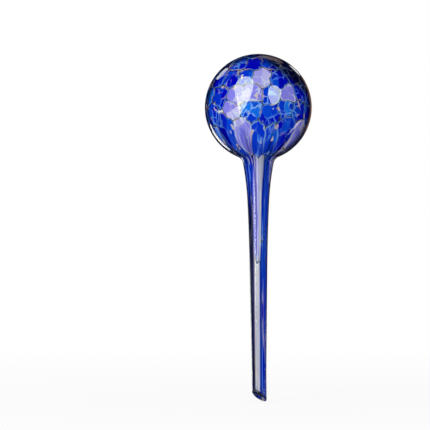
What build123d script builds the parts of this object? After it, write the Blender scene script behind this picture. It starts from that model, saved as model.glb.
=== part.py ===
from build123d import *
import os
from math import atan2, cos, degrees, hypot, pi, radians, sin, sqrt, tan

# A watering globe of blown glass. The bulb holds the water, and the long hollow stem below it is
# pushed into the soil of a plant pot, where the water seeps out of its slanted, open tip.
# The clear glass was rolled in chips of coloured glass while it was hot, then blown and drawn. So
# flat chips lie sealed in the bulb's wall, and streaks of the same colours in the stem's.
# Millimetres, +Z up. The origin is on the stem's axis, level with the lowest point of the tip.
# The front faces -Y, and the tip's slanted opening looks down to the front left.

# Size of the whole globe
globe_length = 290.0
bulb_diameter = 89.2

# Outside of the stem, from the tip up: a straight end, a long taper, a slow sweep outwards, a quicker
# flare, and the neck, where it rounds into the bulb
tip_diameter = 12.1
tip_straight = 24.0
waist_diameter = 14.9
sweep_length = 51.5
shoulder_diameter = 18.2
flare_length = 31.4
neck_diameter = 25.6
neck_drop = 1.9

# Hollow inside: the reservoir in the bulb, and the bore that flares into it from the shoulder up
crown_wall = 2.2
side_wall = 2.6
tip_bore = 8.8
shoulder_bore = 12.4
mouth_bore = 17.0

# Slanted cut across the tip, with its lip rounded in the flame
cut_slope = 39.0
cut_heading = 225.0
lip_rounding = 0.6

# Chips of coloured glass in the bulb's wall: squarish at the crown, drawn out towards the neck. How far
# each colour has spread into its neighbours' room makes the cobalt chips large and the white ones flecks
chip_thickness = 0.45
chip_cover = 0.15
chip_reach = 10.8
vein_width = 1.2
chip_spread = {"cobalt": 1.5, "azure": 0.0, "lavender": 0.5, "white": -7.0}
crown_chip_width = 15.0
crown_chip_length = 15.0
neck_chip_width = 10.0
neck_chip_length = 18.0
wander_share = 0.17
neighbour_count = 10
blank_corner_count = 8

# Streaks in the stem's wall, with ragged ends: broad ones below the neck, then fine ones to the tip
streak_thickness = 0.45
streak_cover = 0.2
broad_streak_width = 4.6
broad_streak_length = 44.0
broad_streak_count = 9
fine_streak_width = 2.1
fine_streak_foot = 16.0
fine_streak_count = 9
streak_gap = 3.0
ragged_length = 16.0
streak_bend_count = 4

# Colours in the order in which the hot glass picked them up
colours = ("cobalt", "azure", "lavender", "white")
chip_order = ("cobalt", "azure", "cobalt", "lavender", "cobalt", "white", "azure", "cobalt", "lavender",
              "azure", "white", "cobalt", "azure")
chip_stride = 5
streak_order = ("cobalt", "lavender", "white", "cobalt", "azure")

# Chips that fell otherwise at the front, by their place in the rings: a dark crown of cobalt, a lavender
# patch in the middle, and a lavender swath that runs down the left to the neck
front_chips = {"cobalt": (14, 15, 18, 28, 33, 34, 35, 47, 53, 63, 64, 70, 102),
               "azure": (50, 67, 69, 105),
               "lavender": (32, 48, 49, 66, 72, 85, 106, 107),
               "white": (65, 104)}

# Worked out from the sizes above
bulb_radius = bulb_diameter / 2
bulb_height = globe_length - bulb_radius
bulb_bottom = globe_length - bulb_diameter
bulb_centre = Vector(0, 0, bulb_height)
reservoir_radius = bulb_radius - side_wall
reservoir_height = globe_length - crown_wall - reservoir_radius
mouth_height = bulb_bottom + 2 * side_wall
overrun = bulb_diameter

# Corners of the stem's outline and of the bore's, as radius and height
neck = Vector(neck_diameter / 2, bulb_bottom - neck_drop)
shoulder = Vector(shoulder_diameter / 2, neck.Y - flare_length)
waist = Vector(waist_diameter / 2, shoulder.Y - sweep_length)
tip_top = Vector(tip_diameter / 2, tip_straight)
bore_foot = Vector(tip_bore / 2, tip_straight)
bore_shoulder = Vector(shoulder_bore / 2, shoulder.Y)
bore_mouth = Vector(mouth_bore / 2, mouth_height)


def lean(foot, top):
    """Angle from the vertical of the straight line between two corners, in radians."""
    return atan2(top.X - foot.X, top.Y - foot.Y)


def arc_reach(height, foot, top, foot_lean):
    """Radius, at a height, of the arc that sets out from the foot with a lean and ends at the top."""
    arc_radius = hypot(top.X - foot.X, top.Y - foot.Y) / (2 * sin(lean(foot, top) - foot_lean))
    centre = foot + Vector(cos(foot_lean), -sin(foot_lean)) * arc_radius
    return centre.X - sqrt(arc_radius ** 2 - (height - centre.Y) ** 2)


# An arc's end leans as far beyond its chord as its start falls short of it
waist_lean = lean(tip_top, waist)
shoulder_lean = 2 * lean(waist, shoulder) - waist_lean
neck_lean = 2 * lean(shoulder, neck) - shoulder_lean


def stem_radius(height):
    if height > shoulder.Y:
        return arc_reach(height, shoulder, neck, shoulder_lean)
    if height > waist.Y:
        return arc_reach(height, waist, shoulder, waist_lean)
    return tip_top.X + (waist.X - tip_top.X) * max(0, height - tip_top.Y) / (waist.Y - tip_top.Y)


# The neck's rounding rolls between the flare and the bulb, and touches the bulb at the hem
neck_depth = bulb_height - neck.Y
neck_rounding = ((neck.X ** 2 + neck_depth ** 2 - bulb_radius ** 2)
                 / (bulb_radius - neck.X * cos(neck_lean) - neck_depth * sin(neck_lean)) / 2)
hem_dip = degrees(atan2(neck_depth + neck_rounding * sin(neck_lean), neck.X + neck_rounding * cos(neck_lean)))
hem_angle = 90 + hem_dip

# The outside of the glass as a full turned form, still without its hollow
with BuildPart() as outside:
    with BuildSketch(Plane.XZ):
        with BuildLine():
            bulb_line = CenterArc((0, bulb_height), bulb_radius, -hem_dip, hem_angle)
            taper_line = Line(tip_top, waist)
            sweep_line = TangentArc(waist, shoulder, tangent=taper_line % 1)
            flare_line = TangentArc(shoulder, neck, tangent=sweep_line % 1)
            TangentArc(neck, bulb_line @ 0, tangent=flare_line % 1)
            Polyline(tip_top, (tip_top.X, -overrun), (0, -overrun), bulb_line @ 1)
        make_face()
    revolve(axis=Axis.Z)

# The hollow: the bore up the stem and the reservoir it opens into
with BuildPart() as hollow:
    with BuildSketch(Plane.XZ):
        with BuildLine():
            bore_line = Line(bore_foot, bore_shoulder)
            TangentArc(bore_shoulder, bore_mouth, tangent=bore_line % 1)
            Polyline(bore_mouth, (0, bore_mouth.Y), (0, -overrun), (bore_foot.X, -overrun), bore_foot)
        make_face()
        with BuildLine():
            reservoir_line = CenterArc((0, reservoir_height), reservoir_radius, -90, 180)
            Line(reservoir_line @ 1, reservoir_line @ 0)
        make_face()
    revolve(axis=Axis.Z)


def scatter(number, salt):
    """A scatter between -1 and 1 that is the same each time."""
    return 2 * (number * ((sqrt(5) - 1) / 2 + salt * sqrt(2)) % 1) - 1


def towards(angle, heading):
    """Unit vector at an angle down from the crown and a heading about the axis, in degrees."""
    out = sin(radians(angle))
    return Vector(out * cos(radians(heading)), out * sin(radians(heading)), cos(radians(angle)))


def sunk(radius, reach, cover):
    """Distance from the centre of a flat top whose edge lies the cover's depth under the surface."""
    return sqrt((radius - cover) ** 2 - reach ** 2)


# Places of the chips: rings round the bulb from the crown to the hem, each a little scattered
chip_sites = []
ring_angle = 0
while ring_angle < hem_angle - degrees(neck_chip_length / bulb_radius) / 2:
    drawn_share = max(0, (ring_angle - 90) / (hem_angle - 90))
    width = crown_chip_width + (neck_chip_width - crown_chip_width) * drawn_share
    length = crown_chip_length + (neck_chip_length - crown_chip_length) * drawn_share
    around = max(1, round(2 * pi * bulb_radius * sin(radians(ring_angle)) / width))
    for step in range(around):
        number = len(chip_sites) + 1
        turn_share = (step + scatter(around, 2) + wander_share * scatter(number, 1)) / around
        nod = wander_share * scatter(number, 3) * degrees(length / bulb_radius)
        chip_sites.append(towards(ring_angle + nod, 360 * turn_share))
    ring_angle += degrees(length / bulb_radius)


def cut_back(corners, away, limit):
    """Keep what lies on the near side of a straight cut across a flat outline."""
    kept = []
    for start, end in zip(corners, corners[1:] + corners[:1]):
        start_over = start.dot(away) - limit
        end_over = end.dot(away) - limit
        if start_over <= 0:
            kept.append(start)
        if start_over * end_over < 0:
            kept.append(start + (end - start) * (start_over / (start_over - end_over)))
    return kept


# The chips' colours, and how far each chip has spread
chip_colours = [chip_order[number * chip_stride % len(chip_order)] for number in range(len(chip_sites))]
for colour, numbers in front_chips.items():
    for number in numbers:
        chip_colours[number] = colour
chip_spreads = [chip_spread[colour] for colour in chip_colours]


def chip_outline(number):
    """A chip reaches half way to each of its neighbours, more or less by how both have spread, less half
    a vein, and down to the hem."""
    site = chip_sites[number]
    flat = Plane(origin=bulb_centre + site * bulb_radius, z_dir=site)
    corners = []
    for step in range(blank_corner_count):
        turn = 2 * pi * step / blank_corner_count
        corners.append(Vector(chip_reach * cos(turn), chip_reach * sin(turn)))
    nearest = sorted(range(len(chip_sites)), key=lambda other: (chip_sites[other] - site).length)
    cuts = [(Vector(0, 0, -1), -bulb_radius * cos(radians(hem_angle)) - vein_width)]
    for other in nearest[1:neighbour_count + 1]:
        gain = (chip_spreads[number] - chip_spreads[other] - vein_width) / 2
        cuts.append(((chip_sites[other] - site).normalized(), gain))
    for away, limit in cuts:
        away_in_flat = Vector(away.dot(flat.x_dir), away.dot(flat.y_dir))
        corners = cut_back(corners, away_in_flat, limit - bulb_radius * away.dot(site))
    return corners


# Each chip's outline, and the seat it lies on, sorted by colour
chips = {colour: [] for colour in colours}
for number, site in enumerate(chip_sites):
    corners = chip_outline(number)
    reach = max(corner.length for corner in corners)
    floor = sunk(bulb_radius, reach, chip_cover) - chip_thickness
    seat = Plane(origin=bulb_centre + site * floor, z_dir=site)
    chips[chip_colours[number]].append((seat, corners))


def streak_outline(top, foot, width):
    """Side view of a streak: a thin band that follows the stem's wall down, just under its surface."""
    rise = (top - foot) / streak_bend_count
    heights = [foot + rise * step for step in range(streak_bend_count + 1)]
    roof = [(sunk(stem_radius(height), width / 2, streak_cover), height) for height in heights]
    floor = [(radius - streak_thickness, height) for radius, height in reversed(roof)]
    return roof + floor


def ragged(number, salt):
    """How far one end of a streak falls short of the longest one's."""
    return ragged_length * (1 + scatter(number, salt)) / 2


# Each streak's side view and the heading of its radius, sorted by colour and width
streak_widths = (broad_streak_width, fine_streak_width)
streaks = {(colour, width): [] for colour in colours for width in streak_widths}
broad_foot = neck.Y - broad_streak_length
for number in range(broad_streak_count):
    band = streak_outline(neck.Y, broad_foot + ragged(number, 1), broad_streak_width)
    colour = streak_order[number % len(streak_order)]
    streaks[colour, broad_streak_width].append((band, 360 * number / broad_streak_count))
for number in range(fine_streak_count):
    top = broad_foot - streak_gap - ragged(number, 2)
    band = streak_outline(top, fine_streak_foot + ragged(number, 3), fine_streak_width)
    colour = streak_order[(number + 1) % len(streak_order)]
    streaks[colour, fine_streak_width].append((band, 360 * (number + 1 / 2) / fine_streak_count))

# One node for each colour of glass: its chips in the bulb and its streaks in the stem
os.makedirs("parts", exist_ok=True)
frit = []
for colour in colours:
    with BuildPart() as coloured_glass:
        for seat, corners in chips[colour]:
            with BuildSketch(seat):
                Polygon(*corners, align=None)
        extrude(amount=chip_thickness)
        for width in streak_widths:
            for band, heading in streaks[colour, width]:
                with BuildSketch(Plane.XZ.rotated((0, 0, heading))):
                    Polygon(*band, align=None)
            extrude(amount=width / 2, both=True)
    coloured_glass.part.label = f"{colour}_frit"
    export_step(coloured_glass.part, f"parts/{colour}_frit.step")
    frit.append(coloured_glass.part)

# The cut's plane passes so low that the rounded lip, not the sharp edge, ends at the origin's level
lip_lift = lip_rounding * (1 / tan(radians(90 - cut_slope) / 2) - 1)
cut_rise = tip_diameter / 2 * tan(radians(cut_slope))
cut_plane = Plane(origin=(0, 0, cut_rise - lip_lift), z_dir=towards(cut_slope, cut_heading + 180))

# The clear wall: bulb and stem in one piece of glass, hollow, with pockets that the colours fill
with BuildPart() as glass_wall:
    add(outside.part)
    add(hollow.part, mode=Mode.SUBTRACT)
    split(bisect_by=cut_plane, keep=Keep.TOP)
    lip = glass_wall.faces().filter_by(GeomType.PLANE).sort_by(Axis.Z)[0]
    fillet(lip.edges(), lip_rounding)
    add(frit, mode=Mode.SUBTRACT, clean=False)
glass_wall.part.label = "glass_wall"
export_step(glass_wall.part, "parts/glass_wall.step")
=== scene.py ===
# %% [markdown]
# # A watering globe of blown glass
# The globe is one hollow body of clear glass: a bulb that holds water, and a long stem that is
# pushed into the soil of a plant pot. Chips of coloured glass lie melted in its wall. This lesson
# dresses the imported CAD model. Its clear wall becomes a smooth mesh that bends light, and its
# flat chips and streaks become soft chips that follow the glass, as if they had been drawn out
# with it.

# %% The frame
from functools import partial
from math import atan2, cos, log, pi, radians, sin, sqrt, tan

import bmesh
import bpy
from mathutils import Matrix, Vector
from mathutils.bvhtree import BVHTree


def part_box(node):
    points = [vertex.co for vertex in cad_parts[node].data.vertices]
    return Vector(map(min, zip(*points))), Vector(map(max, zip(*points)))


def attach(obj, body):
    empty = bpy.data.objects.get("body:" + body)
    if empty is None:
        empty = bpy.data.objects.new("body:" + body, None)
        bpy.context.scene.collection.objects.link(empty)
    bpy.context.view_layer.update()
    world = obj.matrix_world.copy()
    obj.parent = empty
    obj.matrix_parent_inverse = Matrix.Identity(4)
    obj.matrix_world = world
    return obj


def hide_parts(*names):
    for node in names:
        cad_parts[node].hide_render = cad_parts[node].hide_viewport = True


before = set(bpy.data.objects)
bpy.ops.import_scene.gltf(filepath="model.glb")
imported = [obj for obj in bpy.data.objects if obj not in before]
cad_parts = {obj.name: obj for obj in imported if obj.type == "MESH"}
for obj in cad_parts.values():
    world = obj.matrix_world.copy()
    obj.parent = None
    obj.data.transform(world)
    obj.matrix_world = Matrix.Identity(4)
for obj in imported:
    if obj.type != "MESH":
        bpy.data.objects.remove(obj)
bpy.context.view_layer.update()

# %% [markdown]
# ## Sizes
# Blender counts in metres, so each size is written in millimetres and multiplied by MM. The
# bulb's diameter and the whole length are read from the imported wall, so they can't drift from the
# CAD model. The stem's few corners and the wall's thickness are the CAD model's own numbers,
# written again.

# %% The globe's two main sizes
MM = 0.001
wall_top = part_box("glass_wall")[1]
globe_length = wall_top.z
bulb_radius = wall_top.y
bulb_height = globe_length - bulb_radius
bulb_centre = Vector((0, 0, bulb_height))
print("length", round(globe_length / MM, 1), "mm, bulb", round(2 * bulb_radius / MM, 1), "mm")

# %% The stem from its tip up to the neck
tip_radius = 6.05 * MM
tip_straight = 24 * MM
waist_radius = 7.45 * MM
sweep_length = 51.5 * MM
shoulder_radius = 9.1 * MM
flare_length = 31.4 * MM
neck_radius = 12.8 * MM
neck_drop = 1.9 * MM
cut_slope = radians(39)
cut_heading = radians(225)
stem_bow = 0.9 * MM
print("stem", round(2 * tip_radius / MM, 1), "mm thick at the tip,",
      round(2 * neck_radius / MM, 1), "mm at the neck")

# %% The hollow
side_wall = 2.6 * MM
crown_wall = 2.2 * MM
tip_bore_radius = 4.4 * MM
shoulder_bore_radius = 6.2 * MM
mouth_bore_radius = 8.2 * MM
print("wall", round(side_wall / MM, 1), "mm at the side,",
      round((tip_radius - tip_bore_radius) / MM, 2), "mm at the tip")

# %% [markdown]
# ## The outline
# Glass that is drawn while it is soft has no corner anywhere. A spline through a few points could
# draw its outline, but it would swell between them. So the outline is a chain of tangent arcs:
# each sets out in the direction in which the last one ended. One function samples such an arc
# finely enough that its facets never show, and the same functions make the outside and the
# hollow.

# %% Straight runs and tangent arcs
LINE_STEP = 2 * MM
FEWEST_STEPS = 8


def lean_of(start, end):
    """A line's angle from the vertical."""
    return atan2(end.x - start.x, end.y - start.y)


def straight(start, end):
    count = max(1, round((end - start).length / LINE_STEP))
    return [start.lerp(end, step / count) for step in range(count + 1)]


def tangent_arc(start, lean, end):
    """Points of the arc that leaves start at an angle from the vertical and ends in end, and the
    angle there."""
    chord = end - start
    half_turn = atan2(chord.x, chord.y) - lean
    radius = chord.length / (2 * sin(half_turn))
    centre = start + Vector((cos(lean), -sin(lean))) * radius
    count = max(FEWEST_STEPS, round(chord.length / LINE_STEP))
    angles = [lean + 2 * half_turn * step / count for step in range(count + 1)]
    return [centre + Vector((-cos(angle), sin(angle))) * radius for angle in angles], angles[-1]


print("one point every", round(LINE_STEP / MM, 1), "mm")

# %% A ball that grows out of a neck
ARC_STEP = radians(1.2)


def ball_line(start, lean, radius, height):
    """Points from start, round a small arc, and on up a big ball's side to its crown."""
    depth = height - start.y
    rounding = ((start.x ** 2 + depth ** 2 - radius ** 2)
                / (radius - start.x * cos(lean) - depth * sin(lean)) / 2)
    centre = start + Vector((cos(lean), -sin(lean))) * rounding
    hem = atan2(centre.x, centre.y - height)
    touch = Vector((radius * sin(hem), height + radius * cos(hem)))
    steps = round(hem / ARC_STEP)
    angles = [hem * step / steps for step in range(steps - 1, -1, -1)]
    ball = [Vector((radius * sin(angle), height + radius * cos(angle))) for angle in angles]
    return tangent_arc(start, lean, touch)[0] + ball


print("a ball's facet is", round(ARC_STEP * bulb_radius / MM, 2), "mm high")

# %% The outside, from the tip up
neck = Vector((neck_radius, globe_length - 2 * bulb_radius - neck_drop))
shoulder = Vector((shoulder_radius, neck.y - flare_length))
waist = Vector((waist_radius, shoulder.y - sweep_length))
tip_top = Vector((tip_radius, tip_straight))
taper = straight(tip_top, waist)
sweep, shoulder_lean = tangent_arc(waist, lean_of(tip_top, waist), shoulder)
flare, neck_lean = tangent_arc(shoulder, shoulder_lean, neck)
outside = taper + sweep[1:] + flare[1:] + ball_line(neck, neck_lean, bulb_radius, bulb_height)[1:]
print("outside", len(outside), "points")

# %% The hollow, from the tip up
reservoir_radius = bulb_radius - side_wall
reservoir_height = globe_length - crown_wall - reservoir_radius
bore_shoulder = Vector((shoulder_bore_radius, shoulder.y))
bore_foot = Vector((tip_bore_radius, tip_straight))
mouth = Vector((mouth_bore_radius, neck.y))
bore = straight(bore_foot, bore_shoulder)
throat, mouth_lean = tangent_arc(bore_shoulder, lean_of(bore_foot, bore_shoulder), mouth)
hollow = bore + throat[1:] + ball_line(mouth, mouth_lean, reservoir_radius, reservoir_height)[1:]
print("hollow", len(hollow), "points")

# %% [markdown]
# ## The clear wall
# The real wall is one piece of glass, blown hollow and open only at its foot. A Screw and a
# Solidify modifier could spin the outline and give it a wall, but light is bent right only where
# the inner face is the hollow's true shape. So the mesh is one closed skin: up the outside, over
# the crown, and back down the hollow. The stem's end is sheared off at a slant and melted round
# in the flame. The stem also sags a little to one side, as a hand-drawn stem does.

# %% The slanted lip and the stem's sag
lip_reach = (tip_radius - tip_bore_radius) / 2
lip_radius = (tip_radius + tip_bore_radius) / 2
cut_rise = tan(cut_slope)
cut_middle = cut_rise * lip_radius + lip_reach * sqrt(1 + cut_rise ** 2)


def cut_height(radius, turn):
    """Height of the slanted cut at a radius and a heading."""
    return cut_middle + cut_rise * radius * cos(turn - cut_heading)


def bow(height):
    """How far the stem has sagged to the side at a height."""
    return stem_bow * max(0, 1 - height / neck.y) ** 2


print("the cut rises", round(2 * cut_rise * lip_radius / MM, 1), "mm from side to side")

# %% One column of the skin
STRAIGHT_ROWS = 12
LIP_ROWS = 12


def column(turn):
    """The skin's points at one heading: outside down to the lip, round it, and up the hollow."""
    points = [(point.x, point.y) for point in reversed(outside[:-1])]
    foot = cut_height(tip_radius, turn)
    points += [(tip_radius, tip_straight + (foot - tip_straight) * row / STRAIGHT_ROWS)
               for row in range(1, STRAIGHT_ROWS)]
    for row in range(LIP_ROWS + 1):
        angle = pi * row / LIP_ROWS
        radius = lip_radius + lip_reach * cos(angle)
        points.append((radius, cut_height(radius, turn) - lip_reach * sin(angle)))
    foot = cut_height(tip_bore_radius, turn)
    points += [(tip_bore_radius, foot + (tip_straight - foot) * row / STRAIGHT_ROWS)
               for row in range(1, STRAIGHT_ROWS)]
    return points + [(point.x, point.y) for point in hollow[:-1]]


print("each column has", len(column(0)), "points")

# %% The closed skin
AROUND = 168

skin = bmesh.new()
rings = []
for step in range(AROUND):
    turn = 2 * pi * step / AROUND
    rings.append([skin.verts.new((radius * cos(turn) + bow(height), radius * sin(turn), height))
                  for radius, height in column(turn)])
crown = skin.verts.new((0, 0, globe_length))
hollow_crown = skin.verts.new((0, 0, hollow[-1].y))
for left, right in zip(rings, rings[1:] + rings[:1]):
    skin.faces.new((crown, left[0], right[0]))
    for low in range(1, len(left)):
        skin.faces.new((left[low - 1], left[low], right[low], right[low - 1]))
    skin.faces.new((left[-1], hollow_crown, right[-1]))
for face in skin.faces:
    face.smooth = True
open_edges = sum(not edge.is_manifold for edge in skin.edges)
print("clear wall:", len(skin.faces), "faces,", open_edges, "open edges, volume",
      round(skin.calc_volume(signed=True) / MM ** 3), "cubic mm")

# %% The wall as an object, and as a surface to measure from


def as_object(name, mesh_data):
    thing = bpy.data.objects.new(name, mesh_data)
    bpy.context.scene.collection.objects.link(thing)
    return thing


wall_mesh = bpy.data.meshes.new("clear_wall")
skin.to_mesh(wall_mesh)
skin.normal_update()
glass_surface = BVHTree.FromBMesh(skin)
skin.free()
clear_wall = as_object("clear_wall", wall_mesh)
print(clear_wall.name, "has", len(wall_mesh.vertices), "points")

# %% [markdown]
# ## Where the chips lie
# A glassblower rolls the chips onto a small ball of hot glass, the parison, and then blows and
# draws it. Chips that were laid straight onto the finished stem would have to be stretched one by
# one. So each chip is placed on a ball of radius 1 and carried from there to the finished glass.
# The ball keeps its shape as far as the draw's start. Beyond it the glass is drawn out more and
# more, so that a round chip becomes a long streak. The places and the colours come from the
# packed chips.

# %% The way down the glass
downward = list(reversed(outside)) + [Vector((tip_radius, 0))]
lengths = [0]
for upper, lower in zip(downward, downward[1:]):
    lengths.append(lengths[-1] + (lower - upper).length)
print("from crown to tip along the glass", round(lengths[-1] / MM, 1), "mm")

# %% From the finished glass back to the ball
draw_start = radians(100)
draw_rate = 2.66


def parison_angle(length):
    """Angle from the parison's crown of the glass that ends this far down the outline."""
    beyond = length / bulb_radius - draw_start
    if beyond <= 0:
        return length / bulb_radius
    return draw_start + log(1 + draw_rate * beyond) / draw_rate


neck_angle = parison_angle(lengths[-1] - neck.y)
print("on the ball the whole stem is only", round(parison_angle(lengths[-1]) - neck_angle, 2),
      "radians high")

# %% The middle of each packed chip
COLOURS = ("cobalt", "azure", "lavender", "white")
WELD = 0.001 * MM


def islands(node):
    """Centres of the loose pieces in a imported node."""
    loose = bmesh.new()
    loose.from_mesh(node.data)
    bmesh.ops.remove_doubles(loose, verts=loose.verts, dist=WELD)
    seen = set()
    centres = []
    for start in loose.verts:
        if start in seen:
            continue
        piece = [start]
        seen.add(start)
        for vert in piece:
            for edge in vert.link_edges:
                other = edge.other_vert(vert)
                if other not in seen:
                    seen.add(other)
                    piece.append(other)
        centres.append(sum((vert.co for vert in piece), Vector()) / len(piece))
    loose.free()
    return centres


chip_centres = {colour: islands(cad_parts[f"{colour}_frit"]) for colour in COLOURS}
print("packed chips:", {colour: len(centres) for colour, centres in chip_centres.items()})

# %% The sites on the ball
sites = []
site_colours = []
for colour_number, colour in enumerate(COLOURS):
    for centre in chip_centres[colour]:
        if centre.z > neck.y:
            angle = (centre - bulb_centre).angle(Vector((0, 0, 1)))
        else:
            below = next(at for at, point in enumerate(downward) if point.y < centre.z)
            angle = parison_angle(lengths[below])
        turn = atan2(centre.y, centre.x)
        sites.append(Vector((sin(angle) * cos(turn), sin(angle) * sin(turn), cos(angle))))
        site_colours.append(colour_number)
print(len(sites), "sites")

# %% [markdown]
# A chip grows until it meets its neighbours. A site that is lifted off the ball loses ground to
# the others, so the lift makes the white chips mere flecks and leaves the cobalt ones large. A
# node tree can't read a Python list, so the sites and the outline are handed over as two small
# objects.

# %% The sites and the outline as objects
CHIP_LIFT = {"cobalt": 0.0, "azure": 0.08, "lavender": 0.06, "white": 0.235}
STREAK_LIFT = {"cobalt": 0.0, "azure": 0.08, "lavender": 0.06, "white": 0.13}

lifted = []
for site, colour in zip(sites, site_colours):
    lift = STREAK_LIFT if site.z < cos(neck_angle) else CHIP_LIFT
    lifted.append(site * (1 + lift[COLOURS[colour]]))
site_mesh = bpy.data.meshes.new("sites")
site_mesh.from_pydata(lifted, [], [])
colour_layer = site_mesh.attributes.new("colour", "INT", "POINT")
colour_layer.data.foreach_set("value", site_colours)
site_object = as_object("sites", site_mesh)

line_mesh = bpy.data.meshes.new("outline")
line_mesh.from_pydata([(point.x, 0, point.y) for point in downward],
                      [(at, at + 1) for at in range(len(downward) - 1)], [])
line_object = as_object("outline", line_mesh)
print(len(site_mesh.vertices), "sites and", len(line_mesh.vertices), "points of the outline")

# %% [markdown]
# ## The tree that grows the chips
# On the real globe the chips press against each other and leave only a hair of clear glass
# between them. Cutting a sphere into cells would do that with straight borders. Here every chip
# starts as a small round bead on its site, and each point of it walks outwards for as long as its
# own site stays the nearest. One function adds every node of this file: it takes the node's kind,
# its inputs, the output that is wanted, and its settings.

# %% One function that adds a node
MATH = "ShaderNodeMath"
VECTOR = "ShaderNodeVectorMath"
RANGE = "ShaderNodeMapRange"
XYZ = "ShaderNodeSeparateXYZ"
NOISE = "ShaderNodeTexNoise"
STORE = "GeometryNodeStoreNamedAttribute"
NAMED = "GeometryNodeInputNamedAttribute"
VECTOR_AT_POINTS = {"data_type": "FLOAT_VECTOR", "domain": "POINT"}
NUMBER_AT_POINTS = {"data_type": "FLOAT", "domain": "POINT"}


def add_node(tree, kind, inputs=(), output=0, **settings):
    """Adds a node with its settings, and links or sets its inputs by place or by name. Gives one
    of the outputs that the settings leave it, or for None the node."""
    node = tree.nodes.new(kind)
    for name, value in settings.items():
        setattr(node, name, value)
    sockets = [socket for socket in node.inputs if socket.enabled]
    by_name = {socket.name: socket for socket in reversed(sockets)}
    for key, value in (inputs.items() if isinstance(inputs, dict) else enumerate(inputs)):
        socket = sockets[key] if isinstance(key, int) else by_name[key]
        if isinstance(value, bpy.types.NodeSocket):
            tree.links.new(value, socket)
        elif value is not None:
            socket.default_value = value
    if output is None:
        return node
    outputs = [socket for socket in node.outputs if socket.enabled]
    return outputs[output] if isinstance(output, int) else node.outputs[output]


print("short names:", MATH, VECTOR, RANGE, XYZ, NOISE, STORE, NAMED)

# %% [markdown]
# The tree's sizes are named inputs, so a reader can find and change them in Blender's modifier
# panel. Vein is the clear gap between two chips, Thickness the chip's, and Cover the clear glass
# over it. Wander is how far a border strays, and Wander size how long its waves are.

# %% The tree and its named inputs
FOOT_MARGIN = 0.3 * MM
INPUTS = (("Sites", "Object", None), ("Outline", "Object", None), ("Colour", "Int", 0),
          ("Material", "Material", None), ("Radius", "Float", bulb_radius),
          ("Draw start", "Float", draw_start), ("Draw rate", "Float", draw_rate),
          ("Vein", "Float", 0.05 * MM), ("Thickness", "Float", 0.36 * MM),
          ("Cover", "Float", 0.2 * MM), ("Wander", "Float", 2.0 * MM),
          ("Wander size", "Float", 6 * MM), ("Longest reach", "Float", 0.62),
          ("Bow", "Float", stem_bow), ("Neck height", "Float", neck.y),
          ("Neck angle", "Float", neck_angle), ("Neck reach", "Float", 0.52),
          ("Foot", "Float", lengths[-1] - cut_middle - FOOT_MARGIN),
          ("Foot slant", "Float", cut_rise * tip_radius), ("Foot heading", "Float", cut_heading))

chip_tree = bpy.data.node_groups.new("grow_chips", "GeometryNodeTree")
chip_tree.interface.new_socket("Geometry", in_out="OUTPUT", socket_type="NodeSocketGeometry")
chip_tree.interface.new_socket("Geometry", in_out="INPUT", socket_type="NodeSocketGeometry")
for name, kind, value in INPUTS:
    socket = chip_tree.interface.new_socket(name, in_out="INPUT", socket_type="NodeSocket" + kind)
    if value is not None:
        socket.default_value = value
grow = partial(add_node, chip_tree)
sizes = grow("NodeGroupInput", output=None).outputs
print(len(INPUTS), "named inputs")

# %% [markdown]
# Each site remembers its number and its seat, which is its place on the ball without the lift.
# The sites of one colour are then set apart, because each colour is a piece of its own.

# %% The sites of one colour
position = grow("GeometryNodeInputPosition")
all_sites = grow("GeometryNodeObjectInfo", {"Object": sizes["Sites"]}, "Geometry")
site_number = grow("GeometryNodeInputIndex")
marked = grow(STORE, (all_sites, None, "number", site_number), data_type="INT", domain="POINT")
on_ball = grow(VECTOR, (position,), operation="NORMALIZE")
marked = grow(STORE, (marked, None, "seat", on_ball), **VECTOR_AT_POINTS)
site_colour = grow(NAMED, ("colour",), data_type="INT")
wanted = grow("FunctionNodeCompare", (site_colour, sizes["Colour"]),
              data_type="INT", operation="EQUAL")
own_sites = grow("GeometryNodeSeparateGeometry", (marked, wanted), domain="POINT")
seat = grow(NAMED, ("seat",), data_type="FLOAT_VECTOR")
facing = grow("FunctionNodeAlignRotationToVector", {"Vector": seat}, axis="Z")
print("nodes so far:", len(chip_tree.nodes))

# %% [markdown]
# A bead is a short cylinder. A ball would do as well, but the cylinder's flat ends give every
# chip even rings of faces from its middle to its rim, and the same number of them on top and
# below. Its flank is marked, because it stays a sharp edge when the rest is shaded smooth.

# %% A bead on every site
BEAD_SPOKES = 42
BEAD_RINGS = 8
disc = grow("GeometryNodeMeshCylinder",
            {"Vertices": BEAD_SPOKES, "Side Segments": 1, "Fill Segments": BEAD_RINGS,
             "Radius": 1.0, "Depth": 2.0}, None, fill_type="TRIANGLE_FAN")
bead = grow(STORE, (disc.outputs["Mesh"], None, "bead", position), **VECTOR_AT_POINTS)
bead = grow(STORE, (bead, None, "flank", disc.outputs["Side"]), data_type="BOOLEAN", domain="FACE")
beads = grow("GeometryNodeInstanceOnPoints",
             {"Points": own_sites, "Instance": bead, "Rotation": facing})
beads = grow("GeometryNodeRealizeInstances", (beads,))
print("nodes so far:", len(chip_tree.nodes))

# %% [markdown]
# Every point of a bead keeps its bearing, which is the direction it walks in, and its reach,
# which is the angle it has walked so far. On a ball such a walk is an arc of a great circle from
# the seat.

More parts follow.
